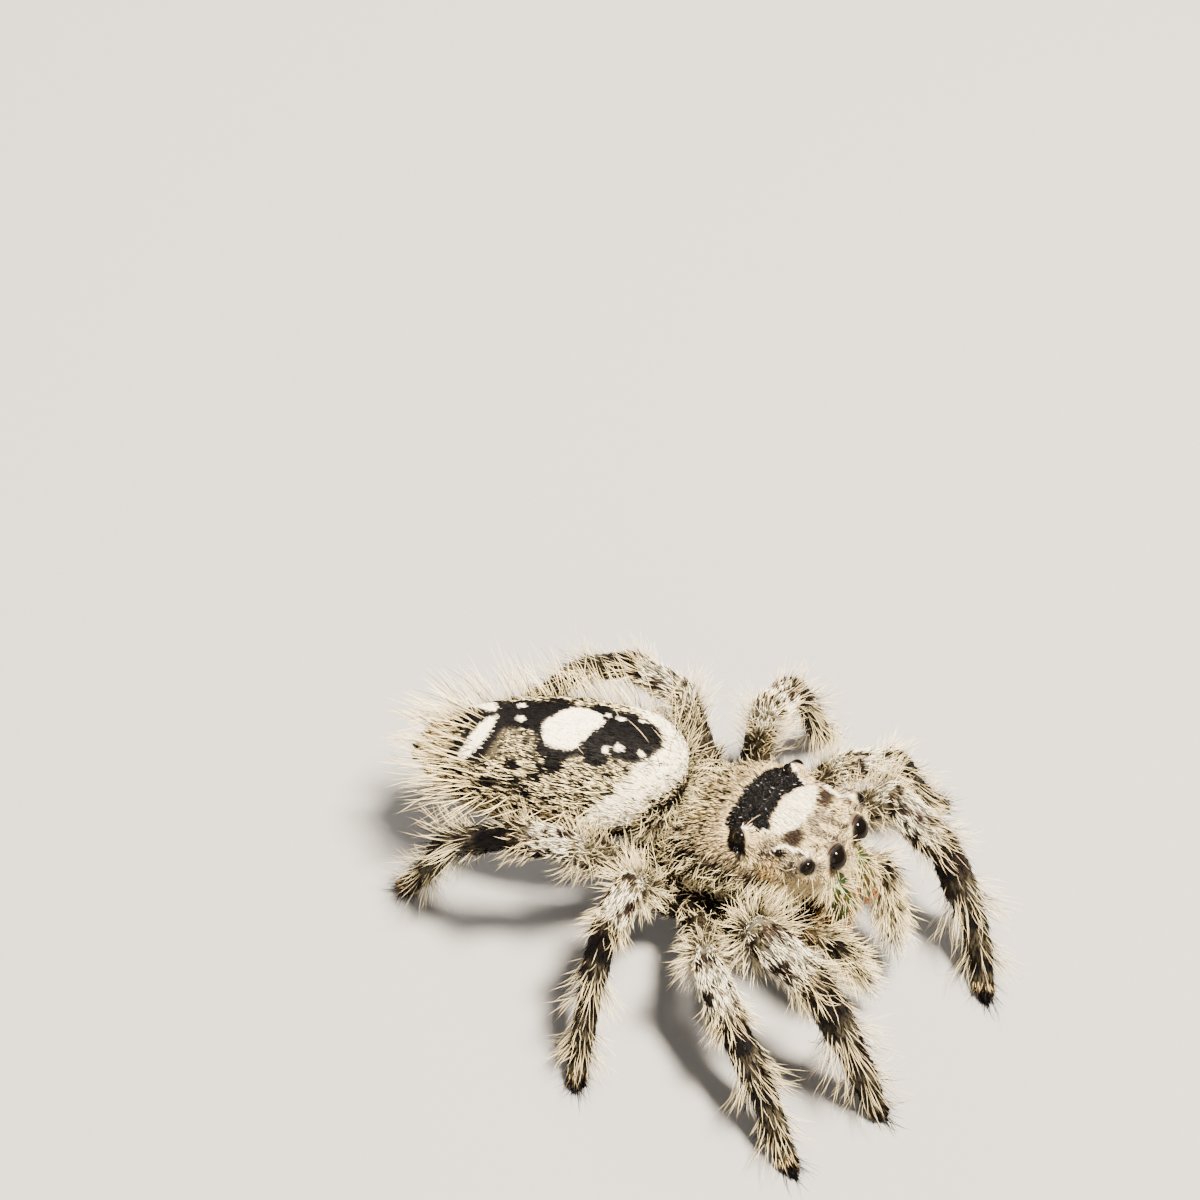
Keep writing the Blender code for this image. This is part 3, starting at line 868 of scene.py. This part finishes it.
def makeCoatPiece(name, batches, finish):
    verts, shades, patch, faces, first = [], [], [], [], 0
    for batch in batches:
        count, each = batch["verts"].shape[:2]
        starts = first + np.arange(count) * each
        faces.append((starts[:, None, None] + hairFaces(batch["rings"])[None]).reshape(-1, 3))
        for rows, kind, width in ((verts, "verts", 3), (shades, "shades", 3), (patch, "patch", 2)):
            rows.append(batch[kind].reshape(-1, width))
        first += count * each
    verts, shades, patch, faces = map(np.vstack, (verts, shades, patch, faces))
    mesh = bpy.data.meshes.new(name)
    mesh.vertices.add(len(verts))
    mesh.vertices.foreach_set("co", (verts * mm).astype(np.float32).ravel())
    mesh.loops.add(faces.size)
    mesh.loops.foreach_set("vertex_index", faces.astype(np.int32).ravel())
    mesh.polygons.add(len(faces))
    mesh.polygons.foreach_set("loop_start", np.arange(0, faces.size, 3, dtype=np.int32))
    mesh.update(calc_edges=True)
    giveTint(mesh, shades)
    layer = mesh.uv_layers.new(name="OFBake")
    layer.uv.foreach_set("vector", patch[faces.ravel()].astype(np.float32).ravel())
    addPiece(name, mesh, finish)
    print("coat piece", name, len(faces), "faces")


triangleMid = skinMap["points"][skinMap["triangles"]].mean(1)
trianglePart = skinMap["part"][skinMap["triangles"][:, 0]]
eyeGap = np.min([np.linalg.norm(triangleMid - eye["place"], axis=1) / eye["radius"] for eye in eyes], axis=0)
bareEye = softStep(eyeGap, 1.10, 1.20)


hairFacts = ("count", "length", "width", "lift", "bend", "sway", "rings", "rootShade")


def hairs(*facts, **more):
    # lengths and widths are in mm, lift at the root and bend toward the tip in degrees; rootShade is painted
    # shade at the root
    return {**dict(zip(hairFacts, facts)), **more}


def coatOf(random, weight, look):
    # one kind of hair over part of the skin, as its dictionary describes it
    count = look["count"]
    points, normals, part = scatter(random, count, weight)
    length = random.uniform(*look["length"], count)
    width = random.uniform(*look["width"], count)
    lift = np.radians(random.uniform(*look["lift"], count))
    bend = np.radians(random.uniform(*look["bend"], count))
    sway = random.normal(0, look["sway"], count)
    lie = lieOfCoat(points, part)
    lie = unit(lie - normals * (lie * normals).sum(1)[:, None])
    stray = random.normal(0, look.get("stray", 0.12), count)[:, None]
    lie = lie + np.cross(normals, lie) * stray
    seen = points + lie * (length * 0.45 * np.cos(lift))[:, None]     # the part of the hair that shows
    tint, black = marksAt(seen, part)
    dark = random.random(count) < black * look.get("blackShare", 1)
    # pale hairs get less painted shade at the root
    brightRoot = look.get("brightRoot", look["rootShade"])
    rootShade = np.where((tint.min(1) > 0.6) & ~dark, brightRoot, look["rootShade"])
    tint = np.where(dark[:, None], tones[look.get("darkTone", "black")], tint)
    width = width * np.where(dark, look.get("darkWidth", 1), 1)
    tint = tint * random.uniform(look.get("dim", 0.78), 1.04, count)[:, None]
    length = length * np.where(dark, look.get("darkLength", 0.85), 1)
    return {"points": points, "normals": normals, "lie": lie, "length": length, "width": width,
            "lift": lift, "bend": bend, "sway": sway, "tint": tint, "part": part,
            "rings": look["rings"], "rootShade": rootShade, "dark": dark}


def recolour(random, hair, tone, low, high, which=slice(None)):
    hair["tint"][which] = tones[tone] * random.uniform(low, high, len(hair["tint"][which]))[:, None]


# abdomen coat

abdomenCoat = {
    "under": hairs(17500, (0.11, 0.20), (0.025, 0.036), (6, 18), (6, 20), 0.10, 2, 0.45,
                   brightRoot=0.8, darkLength=1.0, blackShare=0.85, dim=0.88),
    "over": hairs(12000, (0.15, 0.27), (0.014, 0.022), (8, 22), (8, 26), 0.14, 3, 0.16,
                  brightRoot=0.7, darkLength=1.15, darkWidth=1.1, blackShare=1.5, dim=0.88),
    "bristle": hairs(620, (0.65, 1.30), (0.016, 0.024), (50, 84), (0, 30), 0.12, 5, 0.35, stray=0.2),
    "mane": hairs(1500, (0.36, 0.72), (0.012, 0.018), (34, 76), (10, 60), 0.30, 4, 0.06, stray=0.35),
}


def shortOnMarks(points):
    # the coat is shorter over the marks on top, so that they stay sharp
    along, turn = onAbdomen(points)
    away = np.abs(turn - abdomenMidline(along))
    barAlong, slant, _, _, high = abdomenMarks["bars"]
    onBar = between(along - barAlong - slant * away, -0.26, 0.10, 0.04) * fade(away, high - 4, high + 8)
    onTop = fade(away, 24, 44) * fade(along, 0.6, 0.8)
    return 1 - np.maximum(0.42 * onTop, 0.62 * onBar)


def makeAbdomenCoat():
    random = np.random.default_rng(21)
    onIt = (trianglePart == abdomenPart).astype(float)
    along, turn = onAbdomen(triangleMid)
    under = coatOf(random, onIt, abdomenCoat["under"])
    under["length"] *= shortOnMarks(under["points"])
    makeCoatPiece("abdomenUnderCoat", [grow(under)], "coatHair")
    top = softStep(turn, -20, 30) * fade(turn, 150, 190)
    dense = onIt * (0.45 + 0.55 * top) * (1 + 0.7 * softStep(along, 0.75, 0.95))
    over = coatOf(random, dense, abdomenCoat["over"])
    rear = softStep(onAbdomen(over["points"])[0], 0.72, 0.95)
    over["length"] *= (1 + 0.6 * rear) * shortOnMarks(over["points"])
    over["lift"] += np.radians(14) * rear
    bright = over["tint"].min(1) > 0.55          # broad short scales on the white marks
    over["width"][bright] *= 1.25
    makeCoatPiece("abdomenOverCoat", [grow(over)], "coatHair")
    rearEnd = softStep(along, 0.50, 0.85)
    rims = softStep(turn, 122, 148) * fade(turn, 178, 200)
    rims = rims + 0.30 * softStep(turn, -30, 0) * fade(turn, 22, 48)
    rearEnd = 1.5 * rearEnd * softStep(turn, -60, 0) * fade(turn, 190, 230)
    weight = onIt * (0.035 + rearEnd + 0.75 * rims)
    look = abdomenCoat["bristle"]
    bristle = coatOf(random, weight, look)
    recolour(random, bristle, "cream", 0.8, 1.05)
    some = random.random(look["count"]) < 0.14
    bristle["tint"][some] = tones["dark"]
    bristle["lift"] = np.maximum(bristle["lift"] + (mottle(bristle["points"], 0.3, 17) - 0.5) * 0.7, 0.8)
    look = abdomenCoat["mane"]
    height = ((triangleMid - abdomenMid) @ abdomenTurn)[:, 2] / abdomenHalf[2]
    front = softStep(-along, 0.58, 0.86) * (1 - 0.85 * softStep(height, 0.05, 0.45))
    mane = coatOf(random, onIt * front, look)
    recolour(random, mane, "cream", 0.75, 1.05)
    mane["tint"][random.random(look["count"]) < 0.58] = tones["black"]
    makeCoatPiece("abdomenBristles", [grow(bristle), grow(mane)], "bristleHair")


makeAbdomenCoat()
print("abdomen coat grown")


# head coat

headCoat = {
    "short": hairs(17000, (0.10, 0.18), (0.017, 0.027), (14, 36), (6, 24), 0.16, 2, 0.18, brightRoot=0.75,
                   darkLength=1.0, darkTone="umber", darkWidth=0.85, dim=0.66),
    "band": hairs(2600, (0.06, 0.10), (0.028, 0.040), (10, 30), (2, 14), 0.10, 2, 0.8,
                  stray=0.3, darkLength=1.0),
    "flank": hairs(5600, (0.22, 0.48), (0.012, 0.019), (16, 48), (-10, 34), 0.42, 4, 0.22,
                   blackShare=0.75, stray=0.45),
    "brow": hairs(260, (0.20, 0.46), (0.009, 0.014), (50, 84), (0, 40), 0.20, 4, 0.8, stray=0.4),
    "beard": hairs(2100, (0.42, 0.84), (0.011, 0.018), (24, 64), (20, 64), 0.16, 4, 0.25, stray=0.2),
}


def makeHeadCoat():
    random = np.random.default_rng(22)
    onIt = (trianglePart == headPart) * bareEye
    local = onHead(triangleMid)
    across, along, height = np.abs(local[:, 0]), local[:, 1], local[:, 2]
    shine = marksAt(triangleMid, trianglePart)[1] > 0.9      # the black band and the dark eye rings
    low = softStep(0.55 - height, 0, 0.35)
    slope = softStep(along, -0.20, 0.30)         # sparser and longer down the rear slope
    dense = onIt * ~shine * (1 - 0.65 * low * fade(-along, 1.15, 1.45)) * (1 - 0.40 * slope)
    short = coatOf(random, dense, headCoat["short"])
    onSlope = softStep(onHead(short["points"])[:, 1], -0.20, 0.30)
    short["length"] *= 1 + 0.45 * onSlope
    short["tint"][short["dark"] & (onSlope > 0.4)] = tones["black"]
    band = coatOf(random, onIt * shine, headCoat["band"])
    recolour(random, band, "black", 0.2, 0.9)
    # painted highlight: a few grey-silver hairs stand in for glints on the black band
    glintHairs = random.random(len(band["dark"])) < 0.022
    band["tint"][glintHairs] = tones["paintedGlint"]
    band["width"][glintHairs] *= 0.6
    makeCoatPiece("headShortCoat", [grow(short)], "coatHair")
    makeCoatPiece("headBandCoat", [grow(band)], "blackScale")
    long = low * (1 - 0.8 * softStep(-along, 1.2, 1.6) * softStep(0.36 - height, 0, 0.15))
    long += 0.5 * softStep(along, 0.15, 0.8)
    flank = coatOf(random, onIt * long * (1 - shine), headCoat["flank"])
    pale = ~flank["dark"]
    flank["tint"][pale] = flank["tint"][pale] * 0.3 + tones["cream"] * 0.7
    edges = np.maximum(softStep(across, 0.72, 0.92), softStep(-along, 1.7, 1.95))
    brow = coatOf(random, onIt * (softStep(height, 0.5, 0.8) * edges * ~shine), headCoat["brow"])
    shaded = random.random(len(brow["dark"])) < 0.8
    brow["tint"][:] = np.where(shaded[:, None], tones["dark"], tones["beige"])
    margin = onIt * (0.15 + softStep(-along, 1.5, 1.9)) * softStep(-along, 0.9, 1.4)
    beard = coatOf(random, margin * between(height, 0.16, 0.52, 0.05), headCoat["beard"])
    recolour(random, beard, "cream", 0.75, 1.05)
    makeCoatPiece("headLongCoat", [grow(flank), grow(brow), grow(beard)], "coatHair")


makeHeadCoat()
print("head coat grown")


# leg, palp and underside coats

legCoat = {
    "under": hairs(3300, (0.13, 0.25), (0.015, 0.024), (8, 28), (4, 24), 0.16, 2, 0.08,
                   brightRoot=0.75, stray=0.2, darkLength=1.0, dim=0.86, blackShare=1.9),
    "fringe": hairs(1200, (0.38, 0.74), (0.009, 0.0155), (22, 58), (-8, 30), 0.20, 3, 0.06,
                    blackShare=0.75, stray=0.2, darkLength=0.6, dim=0.92),
    "tuft": hairs(240, (0.12, 0.20), (0.020, 0.030), (15, 45), (0, 30), 0.20, 2, 0.5),
    "stout": 1.2,                # the front legs are the shaggiest
    # how long the fringe is on each segment
    "reach": {"femur": 0.85, "patella": 0.70, "tibia": 1.10, "metatarsus": 1.0, "tarsus": 0.70},
}
palpCoat = hairs(1600, (0.30, 0.62), (0.012, 0.019), (24, 66), (0, 34), 0.18, 3, 0.06, stray=0.2, dim=0.85)
hipCoat = hairs(3400, (0.26, 0.52), (0.014, 0.022), (25, 72), (0, 50), 0.45, 3, 0.22, stray=0.6)
bellyCoat = hairs(2400, (0.18, 0.42), (0.018, 0.028), (25, 60), (0, 30), 0.30, 3, 0.35,
                  blackShare=0.6, stray=0.5)


def limbAlong(points, part):
    along = np.full(len(points), 0.5)
    here = part >= firstLimb
    along[here] = onLimb(points[here], part[here] - firstLimb)[0]
    return along


def membersOf(limbName):
    return [firstLimb + index for index, limb in enumerate(limbs) if limb["limb"] == limbName]


def coatLeg(random, limbName):
    members = membersOf(limbName)
    onIt = np.isin(trianglePart, members).astype(float)
    along = limbAlong(triangleMid, trianglePart)
    knee = np.isin(trianglePart, members[1:2]) * 0.5
    flare = onIt * (0.10 + np.maximum(knee * 0.25, softStep(along, 0.35, 0.80)))
    under = coatOf(random, onIt + knee, legCoat["under"])
    fringe = coatOf(random, flare, legCoat["fringe"])
    kinds = limbKind[fringe["part"] - firstLimb]
    fringe["length"] *= np.array([legCoat["reach"][kind] for kind in kinds])
    toTip = softStep(limbAlong(fringe["points"], fringe["part"]), 0.35, 0.85)
    fringe["length"] *= 0.52 + 0.66 * toTip      # whorls stand out at the end of each segment
    fringe["length"] *= legCoat["stout"] if limbName.endswith("1") else 1
    fringe["lift"] += np.radians(20) * toTip
    pale = ~fringe["dark"] & (kinds != "tarsus")
    fringe["tint"][pale] = fringe["tint"][pale] * 0.2 + tones["cream"] * 0.8
    tip = (trianglePart == members[-1]) * softStep(along, 0.45, 0.75)
    tuft = coatOf(random, tip, legCoat["tuft"])
    return [grow(under), grow(fringe), grow(tuft)]


def makeLimbCoats():
    random = np.random.default_rng(23)
    for side in sides:
        for first, second in ((1, 2), (3, 4)):
            batches = coatLeg(random, f"leg_{side}_{first}") + coatLeg(random, f"leg_{side}_{second}")
            makeCoatPiece(f"legCoat_{side}_{first}_{second}", batches, "coatHair")
    batches = []
    for side in sides:
        members = membersOf(f"palp_{side}")
        weight = np.isin(trianglePart, members) * np.where(trianglePart == members[-1], 1.0, 0.55)
        batches.append(grow(coatOf(random, weight, palpCoat)))
    under = np.isin(trianglePart, (sternumPart, pedicelPart))
    belly = coatOf(random, under.astype(float), bellyCoat)
    recolour(random, belly, "cream", 0.55, 0.95, ~belly["dark"])
    batches.append(grow(belly))
    local = onHead(triangleMid)
    hips = under | ((trianglePart == headPart) & (local[:, 2] < 0.15) & (local[:, 1] > -1.3))
    onFemur = (trianglePart >= firstLimb) & (limbKind[trianglePart - firstLimb] == "femur")
    hips |= onFemur & (limbAlong(triangleMid, trianglePart) < 0.35)
    hip = coatOf(random, (hips & skinMap["up"]).astype(float), hipCoat)
    dark = random.random(hipCoat["count"]) < 0.55
    hip["tint"][:] = np.where(dark[:, None], tones["black"], tones["cream"])
    hip["tint"] *= random.uniform(0.7, 1.0, hipCoat["count"])[:, None]
    batches.append(grow(hip))
    makeCoatPiece("palpAndBellyCoat", batches, "coatHair")


makeLimbCoats()
print("limb coats grown")


# eyes and their rims

eyeShape = {
    "segments": 32, "rimPlace": 0.02, "rimSize": 0.08, "rimSegments": 28,
    # each lens against the room there is for it
    "lensSize": {"anterior_median": 1.0, "anterior_lateral": 0.84,
                 "posterior_median": 1.0, "posterior_lateral": 0.88},
}


def makeEyes():
    rims = bmesh.new()
    for eye in eyes:
        place, look = Vector(eye["place"]), Vector(eye["look"])
        radius = eye["radius"] * eyeShape["lensSize"][eye["kind"]]
        form = bmesh.new()
        bmesh.ops.create_uvsphere(form, u_segments=eyeShape["segments"], v_segments=eyeShape["segments"] // 2,
                                  radius=radius, matrix=Matrix.Translation(place))
        finishPiece(eye["node"].replace("eye_", "lens_"), form, "eyeLens", [eye["node"]])
        ring = bmesh.new()
        profile = Matrix.Translation((radius * 1.04, 0, 0)) @ Matrix.Rotation(math.pi / 2, 4, "X")
        made = bmesh.ops.create_circle(ring, segments=8, radius=radius * eyeShape["rimSize"], matrix=profile)
        edges = {edge for corner in made["verts"] for edge in corner.link_edges}
        bmesh.ops.spin(ring, geom=list(made["verts"]) + list(edges), cent=(0, 0, 0), axis=(0, 0, 1),
                       angle=2 * math.pi, steps=eyeShape["rimSegments"], use_merge=True)
        bmesh.ops.remove_doubles(ring, verts=ring.verts, dist=0.0005)
        bmesh.ops.recalc_face_normals(ring, faces=ring.faces)
        turn = look.to_track_quat("Z", "Y").to_matrix().to_4x4()
        middle = Matrix.Translation(place + look * radius * eyeShape["rimPlace"]) @ turn
        bmesh.ops.transform(ring, matrix=middle, verts=ring.verts)
        addForm(rims, ring)
    finishPiece("eyeRims", rims, "eyeRim")


makeEyes()
print("eyes set")


# jaws with their fangs, claws and spinnerets

def bentCone(length, thick, bend, segmentsRound=10, cuts=5):
    # a closed horn that starts along +Z and curls toward +X
    horn = bmesh.new()
    bmesh.ops.create_cone(horn, cap_ends=True, segments=segmentsRound, radius1=thick, radius2=thick * 0.12,
                          depth=length, matrix=Matrix.Translation((0, 0, length / 2)))
    for cut in range(1, cuts):
        bmesh.ops.bisect_plane(horn, geom=list(horn.verts) + list(horn.edges) + list(horn.faces),
                               plane_co=(0, 0, length * cut / cuts), plane_no=(0, 0, 1))
    for corner in horn.verts:
        share = corner.co.z / length
        turn = Matrix.Rotation(bend * share, 3, "Y")
        spine = Vector((1 - math.cos(bend * share), 0, math.sin(bend * share))) * (length / bend)
        corner.co = spine + turn @ Vector((corner.co.x, corner.co.y, 0))
    return horn


jawShape = {"smoothing": 4, "inset": 0.03, "fang": (0.42, 0.075, 1.3), "fangTurn": 150}


def makeJaws():
    fangs = bmesh.new()
    for side, sign in sides.items():
        name = f"chelicera_{side}"
        form = nodeForm(name)
        for corner in form.verts:
            corner.co -= corner.normal * jawShape["inset"]
        bmesh.ops.subdivide_edges(form, edges=form.edges, cuts=3, use_grid_fill=True)
        smoothForm(form, jawShape["smoothing"])
        finishPiece(f"jaw_{side}", form, "greenJaw", [name])
        low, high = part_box(name)
        across, along = (low.x + high.x) / 2, (low.y + high.y) / 2
        hinge = Vector((across + sign * 0.08 * mm, along, low.z + 0.05 * mm)) / mm
        fang = bentCone(*jawShape["fang"])
        turn = Matrix.Rotation(math.radians(jawShape["fangTurn"]), 4, "Y")
        turn = Matrix.Rotation(math.pi * (sign > 0), 4, "Z") @ turn
        bmesh.ops.transform(fang, matrix=Matrix.Translation(hinge) @ turn, verts=fang.verts)
        addForm(fangs, fang)
    finishPiece("fangs", fangs, "claw")


jawCoat = hairs(520, (0.18, 0.40), (0.010, 0.017), (15, 50), (0, 40), 0.2, 3, 0.6)


def makeJawCoat():
    # sparse white and rusty hair on the front of each jaw
    random = np.random.default_rng(24)
    batches = []
    for side in sides:
        mesh = bpy.data.objects[f"jaw_{side}"].data
        points = np.array([corner.co for corner in mesh.vertices]) / mm
        normals = np.array([corner.normal for corner in mesh.vertices])
        front = np.where((normals[:, 1] < 0.35) | (normals[:, 2] > 0.2))[0]
        picked = random.choice(front, jawCoat["count"])
        count = len(picked)
        low, top = points[:, 2].min(), points[:, 2].max()
        high = softStep((points[picked][:, 2] - low) / (top - low), 0.35, 0.80)
        rusty = random.random(count) < 0.62 - 0.50 * high
        tint = np.where(rusty[:, None], tones["rust"] * 0.6 + tones["amber"] * 0.4, tones["cream"])
        tint = tint * random.uniform(0.6, 1, count)[:, None]
        lie = np.array((0, -0.15, -1.0)) + random.normal(0, 0.15, (count, 3))
        batches.append(grow({
            "points": points[picked], "normals": normals[picked], "lie": lie, "tint": tint,
            "length": random.uniform(*jawCoat["length"], count),
            "width": random.uniform(*jawCoat["width"], count),
            "lift": np.radians(random.uniform(*jawCoat["lift"], count)),
            "bend": np.radians(random.uniform(*jawCoat["bend"], count)),
            "sway": random.normal(0, jawCoat["sway"], count),
            "rings": jawCoat["rings"], "rootShade": jawCoat["rootShade"],
            "unwrapped": np.stack([0.5 + normals[picked][:, 0] * 0.4, points[picked][:, 2] / 4], axis=1)}))
    makeCoatPiece("jawCoat", batches, "coatHair")


clawShape = {"horn": (0.15, 0.020, 1.5, 8, 4), "ahead": 0.06, "aside": 0.055, "rise": 0.13, "floorGap": 0.01}


def makeClaws():
    claws = bmesh.new()
    for limb in limbs:
        if limb["kind"] != "tarsus":
            continue
        axis = unit((limb["end"] - limb["start"])[None])[0]
        level = unit(np.array((axis[0], axis[1], 0))[None])[0]
        across = np.array((-level[1], level[0], 0))
        for spread in (-1, 1):
            claw = bentCone(*clawShape["horn"])
            base = limb["end"] + level * clawShape["ahead"] + across * spread * clawShape["aside"]
            base = base + np.array((0, 0, clawShape["rise"]))
            turn = Matrix((across, level, (0, 0, 1))).transposed().to_4x4()
            tip = Matrix.Rotation(math.radians(-90), 4, "X") @ Matrix.Rotation(math.radians(-90), 4, "Z")
            bmesh.ops.transform(claw, matrix=Matrix.Translation(Vector(base)) @ turn @ tip, verts=claw.verts)
            addForm(claws, claw)
    low = min(corner.co.z for corner in claws.verts)
    bmesh.ops.translate(claws, vec=(0, 0, max(0, clawShape["floorGap"] - low)), verts=claws.verts)
    finishPiece("claws", claws, "claw")


spinneretShape = {
    "tips": ((0.10, 0.06), (-0.10, 0.06), (0.11, -0.06), (-0.11, -0.06), (0.04, 0), (-0.04, 0)),
    "thick": (0.075, 0.03375), "length": 0.36, "inside": 0.24, "droop": -0.25, "edge": 0.02,
}


def makeSpinnerets():
    form = bmesh.new()
    low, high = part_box("spinnerets")
    middle = np.array((low + high) / 2) / mm
    back = abdomenTurn @ np.array((0, 1, spinneretShape["droop"]))
    back = back / np.linalg.norm(back)
    across = abdomenTurn @ np.array((1, 0, 0))
    up = np.cross(back, across) * -1
    turn = Vector(back).to_track_quat("Z", "Y").to_matrix().to_4x4()
    (thick, thin), length = spinneretShape["thick"], spinneretShape["length"]
    for aside, above in spinneretShape["tips"]:
        base = middle - back * spinneretShape["inside"] + across * aside + up * above
        place = Matrix.Translation(Vector(base + back * length / 2)) @ turn
        horn = bmesh.new()
        bmesh.ops.create_cone(horn, cap_ends=True, segments=12, radius1=thick, radius2=thin, depth=length,
                              matrix=place)
        caps = [edge for edge in horn.edges if len(edge.link_faces) == 2 and edge.calc_face_angle() > 1]
        bmesh.ops.bevel(horn, geom=caps, offset=spinneretShape["edge"], offset_type="OFFSET", affect="EDGES",
                        segments=2, profile=0.5, material=-1)
        addForm(form, horn)
    finishPiece("spinneretTips", form, "claw", ["spinnerets"])


makeJaws()
makeJawCoat()
makeClaws()
makeSpinnerets()
print("jaws, claws and spinnerets made")
